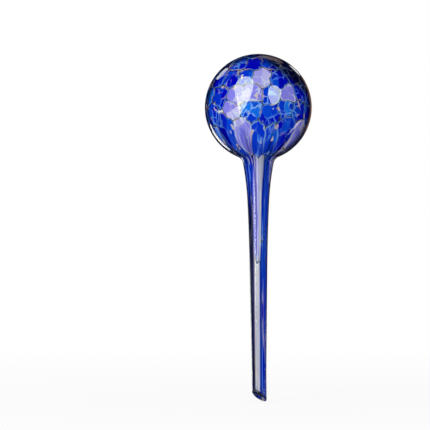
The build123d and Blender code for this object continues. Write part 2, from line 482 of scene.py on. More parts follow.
# %% Each point's bearing, and its walk
in_bead = grow(NAMED, ("bead",), data_type="FLOAT_VECTOR")
in_disc = grow(VECTOR, (in_bead, (1, 1, 0)), operation="MULTIPLY")
outward = grow(VECTOR, (in_disc,), operation="LENGTH")
turned = grow("FunctionNodeRotateVector", (in_disc, facing))
turned = grow(VECTOR, (turned,), operation="NORMALIZE")
beads = grow(STORE, (beads, None, "bearing", turned), **VECTOR_AT_POINTS)
beads = grow(STORE, (beads, None, "reach", 0.0), **NUMBER_AT_POINTS)
bearing = grow(NAMED, ("bearing",), data_type="FLOAT_VECTOR")
bearing = grow(VECTOR, (bearing,), operation="NORMALIZE")
reached = grow(NAMED, ("reach",), data_type="FLOAT")


def walked(angle):
    """The place on the ball that lies an angle away from the seat."""
    along_seat = grow(MATH, (angle,), operation="COSINE")
    along_bearing = grow(MATH, (angle,), operation="SINE")
    along_seat = grow(VECTOR, (seat, along_seat), operation="SCALE")
    along_bearing = grow(VECTOR, (bearing, along_bearing), operation="SCALE")
    return grow(VECTOR, (along_seat, along_bearing), operation="ADD")


print("nodes so far:", len(chip_tree.nodes))

# %% [markdown]
# The walk halves its step each time, as a search does: a point takes a step only if its own site
# is still the nearest there. A noise bends the ground under it, so the borders wander like melted
# ones. The noise has no random seed: it depends on the place alone, so every run gives the same
# chips. It calms down towards the neck, because the draw below would blow up every wave in a
# border there.

# %% The ground that a point tries, bent by a noise
CALM_FROM, CALM_TO = -0.7, -0.25   # heights on the ball of radius 1
CALMED = 0.12                      # share of the wander that is left at the neck
NOISE_SPAN = 4.0                   # the noise strays only a quarter from its middle
MIDDLE_GREY = (0.5, 0.5, 0.5)

start = grow("GeometryNodeRepeatInput", output=None)
end = grow("GeometryNodeRepeatOutput", output=None)
start.pair_with_output(end)
end.repeat_items.new("FLOAT", "Step")
step = start.outputs["Step"]
tried = walked(grow(MATH, (reached, step), operation="ADD"))
noise_scale = grow(MATH, (sizes["Radius"], sizes["Wander size"]), operation="DIVIDE")
noise = grow(NOISE, {"Vector": tried, "Scale": noise_scale, "Detail": 2.0}, "Color")
noise = grow(VECTOR, (noise, MIDDLE_GREY), operation="SUBTRACT")
push = grow(MATH, (sizes["Wander"], sizes["Radius"]), operation="DIVIDE")
calm = grow(RANGE, (grow(XYZ, (tried,), "Z"), CALM_FROM, CALM_TO, CALMED, 1.0))
push = grow(MATH, (push, calm), operation="MULTIPLY")
push = grow(MATH, (push, NOISE_SPAN), operation="MULTIPLY")
noise = grow(VECTOR, (noise, push), operation="SCALE")
bent = grow(VECTOR, (tried, noise), operation="ADD")
print("nodes so far:", len(chip_tree.nodes))

# %% The walk, halving its step ten times
WALK_STEPS = 10
BEAD_MIDDLE = 0.01   # the bead's middle point stays on the seat

start.inputs["Iterations"].default_value = WALK_STEPS
first_step = grow(MATH, (sizes["Longest reach"], 0.5), operation="MULTIPLY")
chip_tree.links.new(beads, start.inputs["Geometry"])
chip_tree.links.new(first_step, start.inputs["Step"])
nearest = grow("GeometryNodeSampleNearest",
               {"Geometry": marked, "Sample Position": bent}, domain="POINT")
own_number = grow(NAMED, ("number",), data_type="INT")
own = grow("FunctionNodeCompare", (nearest, own_number), data_type="INT", operation="EQUAL")
gained = grow(MATH, (step, own), operation="MULTIPLY")
gained = grow(MATH, (reached, gained), operation="ADD")
stepped = grow(STORE, (start.outputs["Geometry"], None, "reach", gained), **NUMBER_AT_POINTS)
chip_tree.links.new(stepped, end.inputs["Geometry"])
chip_tree.links.new(grow(MATH, (step, 0.5), operation="MULTIPLY"), end.inputs["Step"])
off_middle = grow(MATH, (outward, BEAD_MIDDLE), operation="GREATER_THAN")
kept_reach = grow(MATH, (reached, off_middle), operation="MULTIPLY")
grown = grow(STORE, (end.outputs["Geometry"], None, "reach", kept_reach), **NUMBER_AT_POINTS)
print("nodes so far:", len(chip_tree.nodes))

# %% [markdown]
# Near the neck the outline turns from the bulb's side into the stem, and a coarse face would cut
# that corner and stick out of the glass. So the chips near it are divided once more, and the
# others aren't, which keeps the mesh light.

# %% Finer chips near the neck
seat_angle = grow(MATH, (grow(XYZ, (seat,), "Z"),), operation="ARCCOSINE")
from_neck = grow(MATH, (seat_angle, sizes["Neck angle"]), operation="SUBTRACT")
from_neck = grow(MATH, (from_neck,), operation="ABSOLUTE")
near_neck = grow(MATH, (from_neck, sizes["Neck reach"]), operation="LESS_THAN")
split = grow("GeometryNodeSeparateGeometry", (grown, near_neck), None)
finer = grow("GeometryNodeSubdivideMesh", {"Mesh": split.outputs["Selection"], "Level": 1})
joined = grow("GeometryNodeJoinGeometry", output=None)
chip_tree.links.new(finer, joined.inputs[0])
chip_tree.links.new(split.outputs["Inverted"], joined.inputs[0])
grown = joined.outputs[0]
print("nodes so far:", len(chip_tree.nodes))

# %% [markdown]
# The chips' tops lie flush under the clear casing, as they do once a globe has been rolled smooth
# on the bench. Only the undersides bulge into the glass, most in the middle and least at the rim.
# Two attributes go along to the materials: the place on the ball, which their patterns follow,
# and the distance from the chip's border.

# %% The chip's outline, underside and attributes
RIM_DOME = 0.96          # at 1 the underside would taper to nothing at the rim
DOME_POWER = 0.6         # below 1 the underside is flatter, and rounds off near the rim
SMALLEST_REACH = 0.004   # radians, so that no chip shrinks to a point

half_vein = grow(MATH, (sizes["Vein"], 0.5), operation="MULTIPLY")
half_vein = grow(MATH, (half_vein, sizes["Radius"]), operation="DIVIDE")
reach = grow(MATH, (reached, half_vein), operation="SUBTRACT")
reach = grow(MATH, (reach, SMALLEST_REACH), operation="MAXIMUM")
place = walked(grow(MATH, (reach, outward), operation="MULTIPLY"))
ball_place = grow(VECTOR, (place, sizes["Radius"]), operation="SCALE")
grown = grow(STORE, (grown, None, "parison", ball_place), **VECTOR_AT_POINTS)
inward = grow(MATH, (1.0, outward), operation="SUBTRACT")
inward = grow(MATH, (inward, reach), operation="MULTIPLY")
inward = grow(MATH, (inward, sizes["Radius"]), operation="MULTIPLY")
grown = grow(STORE, (grown, None, "border", inward), **NUMBER_AT_POINTS)

dome = grow(MATH, (outward, outward), operation="MULTIPLY")
dome = grow(MATH, (dome, RIM_DOME), operation="MULTIPLY")
dome = grow(MATH, (1.0, dome), operation="SUBTRACT")
dome = grow(MATH, (dome,), operation="SQRT")
dome = grow(MATH, (dome, DOME_POWER), operation="POWER")
is_under = grow(MATH, (grow(XYZ, (in_bead,), "Z"), 0.0), operation="LESS_THAN")
under = grow(MATH, (is_under, dome), operation="MULTIPLY")
under = grow(MATH, (under, sizes["Thickness"]), operation="MULTIPLY")
sunk = grow(MATH, (sizes["Cover"], under), operation="ADD")
print("nodes so far:", len(chip_tree.nodes))

# %% [markdown]
# The draw turns an angle on the ball into a length down the glass. Up to the draw's start they
# keep step. Beyond it the length grows exponentially, the reverse of parison_angle above. The
# slanted foot cuts the streaks off a little above the lip.

# %% From an angle on the ball to a length down the glass
placed = grow(XYZ, (place,), None)
angle = grow(MATH, (placed.outputs["Z"],), operation="ARCCOSINE")
turn = grow(MATH, (placed.outputs["Y"], placed.outputs["X"]), operation="ARCTAN2")
beyond = grow(MATH, (angle, sizes["Draw start"]), operation="SUBTRACT")
beyond = grow(MATH, (beyond, 0.0), operation="MAXIMUM")
drawn = grow(MATH, (beyond, sizes["Draw rate"]), operation="MULTIPLY")
drawn = grow(MATH, (drawn,), operation="EXPONENT")
drawn = grow(MATH, (drawn, 1.0), operation="SUBTRACT")
drawn = grow(MATH, (drawn, sizes["Draw rate"]), operation="DIVIDE")
undrawn = grow(MATH, (angle, sizes["Draw start"]), operation="MINIMUM")
length = grow(MATH, (undrawn, drawn), operation="ADD")
length = grow(MATH, (sizes["Radius"], length), operation="MULTIPLY")
slant = grow(MATH, (turn, sizes["Foot heading"]), operation="SUBTRACT")
slant = grow(MATH, (slant,), operation="COSINE")
slant = grow(MATH, (sizes["Foot slant"], slant), operation="MULTIPLY")
foot = grow(MATH, (sizes["Foot"], slant), operation="SUBTRACT")
length = grow(MATH, (length, foot), operation="MINIMUM")
print("nodes so far:", len(chip_tree.nodes))

# %% [markdown]
# The outline, made a curve, is sampled at that length. Its tangent tells which way is into the
# glass, so a point can be sunk by its depth. Then it is turned to its heading and given the
# stem's sag.

# %% From a length to a place in the glass
outline = grow("GeometryNodeObjectInfo", {"Object": sizes["Outline"]}, "Geometry")
outline = grow("GeometryNodeMeshToCurve", {"Mesh": outline})
sampled = grow("GeometryNodeSampleCurve", {"Curves": outline, "Length": length}, None,
               mode="LENGTH")
on_line = grow(XYZ, (sampled.outputs["Position"],), None)
along = grow(XYZ, (sampled.outputs["Tangent"],), None)
radius = grow(MATH, (along.outputs["Z"], sunk), operation="MULTIPLY")
radius = grow(MATH, (on_line.outputs["X"], radius), operation="ADD")
height = grow(MATH, (along.outputs["X"], sunk), operation="MULTIPLY")
height = grow(MATH, (on_line.outputs["Z"], height), operation="SUBTRACT")
low = grow(MATH, (height, sizes["Neck height"]), operation="DIVIDE")
low = grow(MATH, (1.0, low), operation="SUBTRACT")
low = grow(MATH, (low, 0.0), operation="MAXIMUM")
low = grow(MATH, (low, low), operation="MULTIPLY")
sag = grow(MATH, (sizes["Bow"], low), operation="MULTIPLY")
across = grow(MATH, (radius, grow(MATH, (turn,), operation="COSINE")), operation="MULTIPLY")
across = grow(MATH, (across, sag), operation="ADD")
back = grow(MATH, (radius, grow(MATH, (turn,), operation="SINE")), operation="MULTIPLY")
final = grow("ShaderNodeCombineXYZ", (across, back, height))
print("nodes so far:", len(chip_tree.nodes))

# %% The tree's end
grown = grow("GeometryNodeSetPosition", {"Geometry": grown, "Position": final})
flank = grow(NAMED, ("flank",), data_type="BOOLEAN")
not_flank = grow("FunctionNodeBooleanMath", (flank,), operation="NOT")
grown = grow("GeometryNodeSetShadeSmooth", {"Geometry": grown, "Shade Smooth": not_flank})
grown = grow("GeometryNodeRealizeInstances", {"Geometry": grown})
grown = grow("GeometryNodeSetMaterial", {"Geometry": grown, "Material": sizes["Material"]})
grow("NodeGroupOutput", (grown,), None)
print("the whole tree has", len(chip_tree.nodes), "nodes")

# %% [markdown]
# ## Glass
# Glass needs only a few settings, so a ready-made shader would do for a plain one. What makes
# this glass look blown is what lies in it. One function turns an sRGB hex code into a colour of
# the scene, and one starts each material empty, so that nothing in it is left to chance.

# %% Colours and empty materials


def shade(code):
    """Scene colour of an sRGB hex code."""
    parts = [int(code[at:at + 2], 16) / 255 for at in (0, 2, 4)]
    return [part / 12.92 if part <= 0.04045 else ((part + 0.055) / 1.055) ** 2.4
            for part in parts] + [1]


def new_material(name):
    """An empty material, and the function that adds nodes to it."""
    material = bpy.data.materials.new(name)
    material.use_nodes = True
    material.node_tree.nodes.clear()
    return material, partial(add_node, material.node_tree)


print("middle grey, 808080, is", round(shade("808080")[0], 3), "in the scene")

# %% [markdown]
# The clear casing is soda-lime glass, blown and polished by the flame, with the usual index of
# 1.52. It gives the eye deep gloss with sharp highlights. Hand-blown glass is never quite even:
# long shallow waves run down it, 26 mm apart, and bend the highlights' outlines. They are far too
# shallow to model, so a bump draws them.

# %% Clear blown glass
WAVE = 26 * MM
WAVE_HEIGHT = 1.2 * MM
WAVE_STRENGTH = 0.07
DRAWN_OUT = (1, 1, 0.2)

# Soda-lime glass, fire-polished: clear, sharply glossy, with soft waves in its highlights.
clear_glass, add = new_material("clear_blown_glass")
waves = add("ShaderNodeTexCoord", output="Object")
waves = add(VECTOR, (waves, DRAWN_OUT), operation="MULTIPLY")
waves = add(NOISE, {"Vector": waves, "Scale": 1 / WAVE, "Detail": 1.0})
bump = add("ShaderNodeBump", {"Strength": WAVE_STRENGTH, "Distance": WAVE_HEIGHT, "Height": waves})
surface = add("ShaderNodeBsdfPrincipled",
              {"Base Color": shade("f7fbff"), "Roughness": 0.015, "IOR": 1.52,
               "Transmission Weight": 1.0, "Normal": bump})
add("ShaderNodeOutputMaterial", (surface,), None)
wall_mesh.materials.append(clear_glass)
print(clear_glass.name, "has", len(clear_glass.node_tree.nodes), "nodes")

# %% [markdown]
# A chip of frit is a clump of crushed coloured glass that has melted together. Its grains differ
# in density, and where they meet they leave pale veins. Painted veins would slide over the chips,
# so the patterns read the place on the ball, and the draw stretches them with the glass. First, a
# noise pushes that place about, as glass swirls when it melts.

# %% Swirled ground
CELLS = "ShaderNodeTexVoronoi"
SOFT = {"interpolation_type": "SMOOTHSTEP"}
SWIRL = 5 * MM


def swirled(add, place):
    """The place, pushed about by a noise."""
    push = add(NOISE, {"Vector": place, "Scale": 1 / SWIRL, "Detail": 2.0}, "Color")
    push = add(VECTOR, (push, MIDDLE_GREY), operation="SUBTRACT")
    push = add(VECTOR, (push, SWIRL), operation="SCALE")
    return add(VECTOR, (place, push), operation="ADD")


print("swirls", round(SWIRL / MM, 1), "mm across")

# %% [markdown]
# The veins run round grains 8 mm across, but not everywhere: patches of about 13 mm have them and
# the ground between has none. The chip's own rim is pale too, where it has melted thin. Both come
# from a distance: to the edge of a Voronoi cell, and to the chip's border that the tree has
# stored.

# %% Pale veins and rims
GRAIN = 8 * MM
PATCH = 13 * MM
VEIN_EDGE = (0.005, 0.085)
PATCH_EDGE = (0.42, 0.6)
RIM_EDGE = (0.1 * MM, 1.1 * MM)


def paleness(add, place, ground):
    """How pale each spot is, from 0 to 1."""
    vein = add(CELLS, {"Vector": ground, "Scale": 1 / GRAIN}, "Distance",
               feature="DISTANCE_TO_EDGE")
    vein = add(RANGE, (vein, *VEIN_EDGE), **SOFT)
    vein = add(MATH, (1.0, vein), operation="SUBTRACT")
    patches = add(NOISE, {"Vector": place, "Scale": 1 / PATCH})
    patches = add(RANGE, (patches, *PATCH_EDGE), **SOFT)
    vein = add(MATH, (vein, patches), operation="MULTIPLY")
    rim = add("ShaderNodeAttribute", output="Fac", attribute_name="border")
    rim = add(RANGE, (rim, *RIM_EDGE), **SOFT)
    rim = add(MATH, (1.0, rim), operation="SUBTRACT")
    return add(MATH, (vein, rim), operation="MAXIMUM")


print("rims", round(RIM_EDGE[1] / MM, 1), "mm wide")

# %% [markdown]
# Each grain takes one colour between the dense and the thin glass. The veins take the chip's own
# pale colour, and cream in some stretches, where a crumb of another colour has melted in.

# %% Grains
CREAM = 9 * MM
CREAM_EDGE = (0.55, 0.62)
GRAIN_EDGE = (0.35, 1.0)
BLEND = {"data_type": "RGBA"}


def grain_colour(add, place, ground, pale, dense, thin, vein):
    """The grains' colours, with the veins laid over them."""
    thinness = add(CELLS, {"Vector": ground, "Scale": 1 / GRAIN}, "Color")
    thinness = add("ShaderNodeSeparateColor", (thinness,))
    thinness = add(RANGE, (thinness, *GRAIN_EDGE), **SOFT)
    colour = add("ShaderNodeMix", (thinness, shade(dense), shade(thin)), **BLEND)
    cream = add(NOISE, {"Vector": place, "Scale": 1 / CREAM, "Detail": 1.0})
    cream = add(RANGE, (cream, *CREAM_EDGE), **SOFT)
    vein_colour = add("ShaderNodeMix", (cream, shade(vein), shade("e4d0c4")), **BLEND)
    return add("ShaderNodeMix", (pale, colour, vein_colour), **BLEND)


print("cream stretches about", round(CREAM / MM), "mm long")

# %% [markdown]
# Down the bulb and the stem the draw pulls the grains out to threads. They are too many and too
# thin to be chips of their own, so a noise draws them: it changes fast round the axis and slowly
# along it. Dark and pale threads are 5 mm apart, and finer blue ones 2.6 mm. On the ball that is:
# on the stem they are much narrower.

# %% Threads
THREAD = 5 * MM
FINE_THREAD = 2.6 * MM
ROUND_AXIS = 24 * MM
ALONG_AXIS = 6 * MM
DRAWN_EDGE = (0.05, 0.75)


def threaded(add, heading, down, colour, vein, share):
    """The colour with drawn threads laid over it, the more the further down."""
    along_axis = add(MATH, (down, ALONG_AXIS), operation="MULTIPLY")
    along_axis = add("ShaderNodeCombineXYZ", (0.0, 0.0, along_axis))
    round_axis = add(VECTOR, (heading, ROUND_AXIS), operation="SCALE")
    thread_place = add(VECTOR, (round_axis, along_axis), operation="ADD")
    thread = add(NOISE, {"Vector": thread_place, "Scale": 1 / THREAD, "Detail": 3.0,
                         "Roughness": 0.6})
    fine = add(NOISE, {"Vector": thread_place, "Scale": 1 / FINE_THREAD, "Detail": 1.0})
    drawn = add(RANGE, (down, *DRAWN_EDGE), **SOFT)
    drawn = add(MATH, (drawn, share), operation="MULTIPLY")
    for pattern, nothing, all_of_it, tint in ((thread, 0.47, 0.36, "02045c"),
                                              (thread, 0.54, 0.66, vein),
                                              (fine, 0.5, 0.58, "1440d4")):
        mask = add(RANGE, (pattern, nothing, all_of_it), **SOFT)
        mask = add(MATH, (drawn, mask), operation="MULTIPLY")
        colour = add("ShaderNodeMix", (mask, colour, shade(tint)), **BLEND)
    return colour


print("threads", round(THREAD / MM, 1), "and", round(FINE_THREAD / MM, 1), "mm apart")

# %% [markdown]
# Here and there a crumb of pale glass, 2.3 mm across, lies among the grains. Crumbs of their own
# would be hundreds of tiny pieces. Here a few Voronoi cells, chosen by their random colour,
# become them.

# %% Crumbs
CRUMB = 2.3 * MM
CRUMB_EDGE = (0.984, 0.99)


def crumbed(add, ground, colour):
    """The colour with a few pale crumbs on it."""
    crumb = add(CELLS, {"Vector": ground, "Scale": 1 / CRUMB}, "Color")
    crumb = add("ShaderNodeSeparateColor", (crumb,), "Green")
    crumb = add(RANGE, (crumb, *CRUMB_EDGE), **SOFT)
    return add("ShaderNodeMix", (crumb, colour, shade("d8c8cc")), **BLEND)


print("from", round(100 * (1 - CRUMB_EDGE[1]), 1), "to", round(100 * (1 - CRUMB_EDGE[0]), 1),
      "cells in a hundred are crumbs")

# %% [markdown]
# Shade is painted into the chips' colour: painted shade makes the bulb's upper right and one side
# of the stem nearly black. Coloured glass darkens towards its outline, where light takes a long way
# through it, and glass shows a dark edge there. The chips are opaque here, so Layer Weight paints
# that darkening in as painted shade. The pale veins show faintly through the painted dark.

# %% Painted shade: a dark cap, a dark stem side and dark rims
SHADE_CAP_DIRECTION = (0.62, 0.0, 0.78)
SHADE_CAP_EDGE = (0.64 * bulb_radius, 0.8 * bulb_radius)
SHADE_SIDE_DIRECTION = (-0.97, -0.25, 0.0)
SHADE_SIDE_EDGE = (0.66, 0.82)
SHADE_STEM_EDGE = (0.66, 0.8)
SHADE_RIM_EDGE = (0.187, 0.226)
SHADE_SIDE_SHARE = 0.97
SHADE_RIM_SHARE = 0.92
VEINS_THROUGH_SHADE = 0.35


def with_painted_shade(add, place, heading, down, pale, colour):
    """The colour with painted shade: nearly black on the bulb's upper right, down one side of the
    stem, and towards the outline.
    """
    faint = add(MATH, (pale, VEINS_THROUGH_SHADE), operation="MULTIPLY")
    unveined = add(MATH, (1.0, faint), operation="SUBTRACT")
    # Painted shade: the bulb's upper right is painted nearly black.
    cap = add(VECTOR, (place, SHADE_CAP_DIRECTION), operation="DOT_PRODUCT")
    cap = add(RANGE, (cap, *SHADE_CAP_EDGE), **SOFT)
    cap = add(MATH, (cap, unveined), operation="MULTIPLY")
    # Painted shade: one side of the stem is painted nearly black.
    side = add(VECTOR, (heading, SHADE_SIDE_DIRECTION), operation="DOT_PRODUCT")
    side = add(RANGE, (side, *SHADE_SIDE_EDGE), **SOFT)
    side = add(MATH, (side, add(RANGE, (down, *SHADE_STEM_EDGE), **SOFT)), operation="MULTIPLY")
    side = add(MATH, (side, SHADE_SIDE_SHARE), operation="MULTIPLY")
    # Painted shade: the chips are painted darker towards the outline, for the dark edge that glass
    # shows there and the long way light takes through it.
    slant = add("ShaderNodeLayerWeight", (0.5,), "Facing")
    slant = add(RANGE, (slant, *SHADE_RIM_EDGE), **SOFT)
    slant = add(MATH, (slant, SHADE_RIM_SHARE), operation="MULTIPLY")
    dark = add(MATH, (cap, side), operation="MAXIMUM")
    dark = add(MATH, (dark, slant), operation="MAXIMUM")
    # The painted shade's colour is a blue so deep that it is nearly black, and the pale veins show
    # through it in grey.
    colour = add("ShaderNodeMix", (dark, colour, shade("070a38")), **BLEND)
    veins_in_painted_shade = add(MATH, (dark, faint), operation="MULTIPLY")
    return add("ShaderNodeMix", (veins_in_painted_shade, colour, shade("747a72")), **BLEND)


print("the dark cap starts", round(SHADE_CAP_EDGE[0] / MM, 1), "mm from the bulb's middle")

# %% [markdown]
# All four colours are made by one function, from their own hex codes. Frit glass could be made to
# let light through, but then the chips behind show through those in front, and colour piles up on
# colour until it is black. So the chips are opaque, and the clear casing over them gives the
# depth. Their index of 1 says that they have no gloss of their own: they lie in glass, and glass
# against glass mirrors nothing.

# %% Frit glass in one colour


def coloured_glass(name, dense, thin, vein, threads):
    """Grains of glass from dense to thin, paler where they meet, and drawn to threads below."""
    material, add = new_material(name)
    place = add("ShaderNodeAttribute", output="Vector", attribute_name="parison")
    level = add(VECTOR, (place, (1, 1, 0)), operation="MULTIPLY")
    heading = add(VECTOR, (level,), operation="NORMALIZE")
    down = add(MATH, (add(XYZ, (place,), "Z"), -bulb_radius), operation="DIVIDE")
    ground = swirled(add, place)
    pale = paleness(add, place, ground)
    colour = grain_colour(add, place, ground, pale, dense, thin, vein)
    colour = threaded(add, heading, down, colour, vein, threads)
    colour = crumbed(add, ground, colour)
    # Last comes the painted shade: nearly black on the bulb's upper right, down one side of the
    # stem and at the outline.
    colour = with_painted_shade(add, place, heading, down, pale, colour)
    surface = add("ShaderNodeBsdfPrincipled", {"Base Color": colour, "Roughness": 0.4, "IOR": 1.0})
    add("ShaderNodeOutputMaterial", (surface,), None)
    return material


print("patterns follow a ball of radius", round(bulb_radius / MM, 1), "mm")

# %% The four frit glasses
frit_glass = {
    # Cobalt glass, crushed and melted in: the deepest blue, strong even where it is thin.
    "cobalt": coloured_glass("cobalt_frit_glass", "0406cc", "0850e8", "609cf8", 1.0),
    # Azure glass, crushed and melted in: a bright blue that turns to sky where it is thin.
    "azure": coloured_glass("azure_frit_glass", "0438e0", "1c7cf8", "88bcff", 1.0),
    # Opal glass, crushed and melted in: milky violet, with few dark threads.
    "lavender": coloured_glass("lavender_frit_glass", "928cf8", "d4ccff", "e4ecff", 0.7),
    # Opal glass, crushed and melted in: a soft greyish white, which keeps nearly free of threads.
    "white": coloured_glass("white_frit_glass", "d4d4d8", "e4e0e0", "f4f6ff", 0.3)}
print({material.name: len(material.node_tree.nodes) for material in frit_glass.values()})

# %% [markdown]
# ## Growing the chips
# The same tree runs once for each colour. A modifier's inputs are set by their identifiers,
# because their names are only for the reader. The result is kept as one plain mesh, and the
# modifier is taken away again, since the exported model has no node trees.

# %% Running the tree


def grown_mesh(colour):
    blank = as_object("blank", bpy.data.meshes.new("blank"))
    modifier = blank.modifiers.new("grow", "NODES")
    modifier.node_group = chip_tree
    settings = {"Sites": site_object, "Outline": line_object, "Colour": COLOURS.index(colour),
                "Material": frit_glass[colour]}
    for item in chip_tree.interface.items_tree:
        if item.in_out == "INPUT" and item.name in settings:
            modifier[item.identifier] = settings[item.name]
    evaluated = blank.evaluated_get(bpy.context.evaluated_depsgraph_get())
    mesh = bpy.data.meshes.new_from_object(evaluated)
    mesh.name = f"{colour}_chips"
    blank.modifiers.remove(modifier)
    bpy.data.objects.remove(blank)
    return mesh


frit = {colour: as_object(f"{colour}_chips", grown_mesh(colour)) for colour in COLOURS}
bpy.data.objects.remove(site_object)
bpy.data.objects.remove(line_object)
for colour in COLOURS:
    heights = [vert.co.z / MM for vert in frit[colour].data.vertices]
    print(colour, len(frit[colour].data.polygons), "faces, from", round(min(heights), 1), "to",
          round(max(heights), 1), "mm")

# %% [markdown]
# A few long faces still bridge the neck's hollow. They are found by measuring how deep each
# face's middle lies under the wall's surface, and their points are sunk into the glass until it
# covers them, but never deeper than the wall allows. The print says how many faces that leaves
# bare: a few of one white chip at the back of the neck, and of one cobalt chip inside the foot.

# %% Sinking the faces that bridge the neck
BARE = 0.05 * MM      # a face that is less deep counts as bare
SCANT = 0.1 * MM      # one that is less deep is sunk
COVERED = 0.15 * MM   # as deep as this
DEEPEST = 1.6 * MM    # but none of its points deeper than this
ROUNDS = 4


def depth_at(spot):
    """How deep a spot lies in the glass, and the direction out of it."""
    nearest_spot, normal, _, _ = glass_surface.find_nearest(spot)
    return (nearest_spot - spot).dot(normal), normal


def sink_bridges(mesh):
    """Sinks the points of faces that lie too near the surface. Gives the faces' depths."""
    depths = [depth_at(face.center)[0] for face in mesh.polygons]
    for _ in range(ROUNDS):
        for face, depth in zip(mesh.polygons, depths):
            if depth < SCANT:
                for number in face.vertices:
                    vert = mesh.vertices[number]
                    own_depth, normal = depth_at(vert.co)
                    vert.co -= normal * min(COVERED - depth, max(DEEPEST - own_depth, 0.0))
        depths = [depth_at(face.center)[0] for face in mesh.polygons]
    return depths


for colour in COLOURS:
    depths = sink_bridges(frit[colour].data)
    print(colour, "at least", round(min(depths) / MM, 2), "mm deep,",
          sum(depth < BARE for depth in depths), "faces bare")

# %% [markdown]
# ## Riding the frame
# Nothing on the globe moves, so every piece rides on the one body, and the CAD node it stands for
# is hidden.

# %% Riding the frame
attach(clear_wall, "root")
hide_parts("glass_wall")
for colour in COLOURS:
    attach(frit[colour], "root")
    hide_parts(f"{colour}_frit")
print("pieces:", clear_wall.name, *(piece.name for piece in frit.values()))

# %% [markdown]
# ## Camera
# The camera looks level along +Y. A camera close by would show the bulb from below and the tip
# from above. So it stands 2 m away with a long lens, and keeps the globe's proportions.

# %% Camera
IMAGE_SIDE = 430
SENSOR = 36
VIEW_WIDTH = 0.3586
camera_place = Vector((-0.0361, -2.0, 0.1557))

camera_data = bpy.data.cameras.new("camera")
camera_data.sensor_width = SENSOR
camera_data.lens = SENSOR * -camera_place.y / VIEW_WIDTH
camera = as_object("camera", camera_data)
camera.location = camera_place
camera.rotation_euler = (radians(90), 0, 0)
bpy.context.scene.camera = camera
bpy.context.scene.view_settings.view_transform = "Standard"
print("lens", round(camera_data.lens), "mm")

# %% [markdown]
# ## Highlights
# The bulb mirrors its surroundings, and the shapes of its highlights are what makes it look like
# glass. They could be painted on, but then they would stay put as the view turns. So each
# highlight is a soft box, and its outline is worked out backwards: from a spot in the picture to
# the bulb, and from there along the mirrored ray to the box.

# %% From a spot in the picture to the place it mirrors


def sight(across, down):
    """Direction in which the camera sees a spot of the picture."""
    spot_size = VIEW_WIDTH / IMAGE_SIDE
    return Vector(((across - IMAGE_SIDE / 2) * spot_size, -camera_place.y,
                   (IMAGE_SIDE / 2 - down) * spot_size)).normalized()


def mirrored(across, down, distance):
    """Where the surroundings lie that the bulb mirrors at a spot of the picture."""
    ray = sight(across, down)
    offset = camera_place - bulb_centre
    middle = ray.dot(offset)
    inside = max(0, middle ** 2 - offset.length_squared + bulb_radius ** 2)
    touch = camera_place + ray * (-middle - sqrt(inside))
    normal = (touch - bulb_centre).normalized()
    return touch + (ray - normal * 2 * ray.dot(normal)) * distance


print("one step in the picture is", round(VIEW_WIDTH / IMAGE_SIDE / MM, 3), "mm")

# %% [markdown]
# A soft box is a strip of faces between two rows of spots. It glows for mirrored rays only, so it
# neither shows itself nor lights or shades anything else.

# %% Soft boxes
BOX_DISTANCE = 0.9


def glossy_only(thing):
    thing.visible_camera = False
    thing.visible_diffuse = False
    thing.visible_transmission = False
    thing.visible_shadow = False


def soft_box(name, outer, inner, colour, strength):
    """A glowing card between two rows of spots in the picture."""
    mesh = bpy.data.meshes.new(name)
    points = [mirrored(across, down, BOX_DISTANCE) for across, down in outer + inner]
    count = len(outer)
    mesh.from_pydata(points, [],
                     [(at, at + 1, count + at + 1, count + at) for at in range(count - 1)])
    glow, add = new_material(name)
    light = add("ShaderNodeEmission", {"Color": shade(colour), "Strength": strength})
    add("ShaderNodeOutputMaterial", (light,), None)
    mesh.materials.append(glow)
    box = as_object(name, mesh)
    glossy_only(box)
    print(name, "has", len(mesh.polygons), "faces")


# %% Outlines for the boxes
CORNER_SHARES = (0.25, 0.75)
bulb_across, bulb_down = 258.3, 107.4


def rounded(spots, turns=3):
    """The spots' closed outline with its corners cut off again and again, split into two rows."""
    for _ in range(turns):
        spots = [(first[0] + (second[0] - first[0]) * share,
                  first[1] + (second[1] - first[1]) * share)
                 for first, second in zip(spots, spots[1:] + spots[:1]) for share in CORNER_SHARES]
    half = len(spots) // 2
    return spots[:half], spots[:half - 1:-1]


def crescent(radius, width, first, last, count=20):
    """Two rows of spots along a thin arc round the bulb, in degrees clockwise from 3 o'clock."""
    rows = ([], [])
    for step in range(count + 1):
        turn = radians(first + (last - first) * step / count)
        thin = width / 2 * sqrt(sin(pi * step / count))
        for row, reach in zip(rows, (radius + thin, radius - thin)):
            row.append((bulb_across + reach * cos(turn), bulb_down + reach * sin(turn)))
    return rows


print("the bulb's middle is at", (bulb_across, bulb_down), "in the picture")

# %% [markdown]
# The two large highlights are windows of a warm white, one like a balloon and one oval. The slim
# ones are strips of light along the bulb's edge. Two dull brown strips stand for something brown
# in the room, which the glass mirrors along its rim.

# %% The two windows
balloon = [(247.5, 76), (252.5, 78.5), (254, 84), (252.8, 91), (250.3, 97), (247, 104), (243, 111),
           (240.2, 116), (238.6, 110), (237.6, 103), (236.6, 97), (234.4, 92), (234.4, 86),
           (237, 80.5), (242, 77)]
oval = [(274.5, 85), (279.5, 87), (281.5, 93), (280, 99), (277, 104.5), (272, 104.5), (269, 99),
        (267.5, 93), (269.5, 87)]
soft_box("window_box", *rounded(balloon), "f8ffd0", 9.6)
soft_box("small_box", *rounded(oval), "f8ffd0", 9.8)

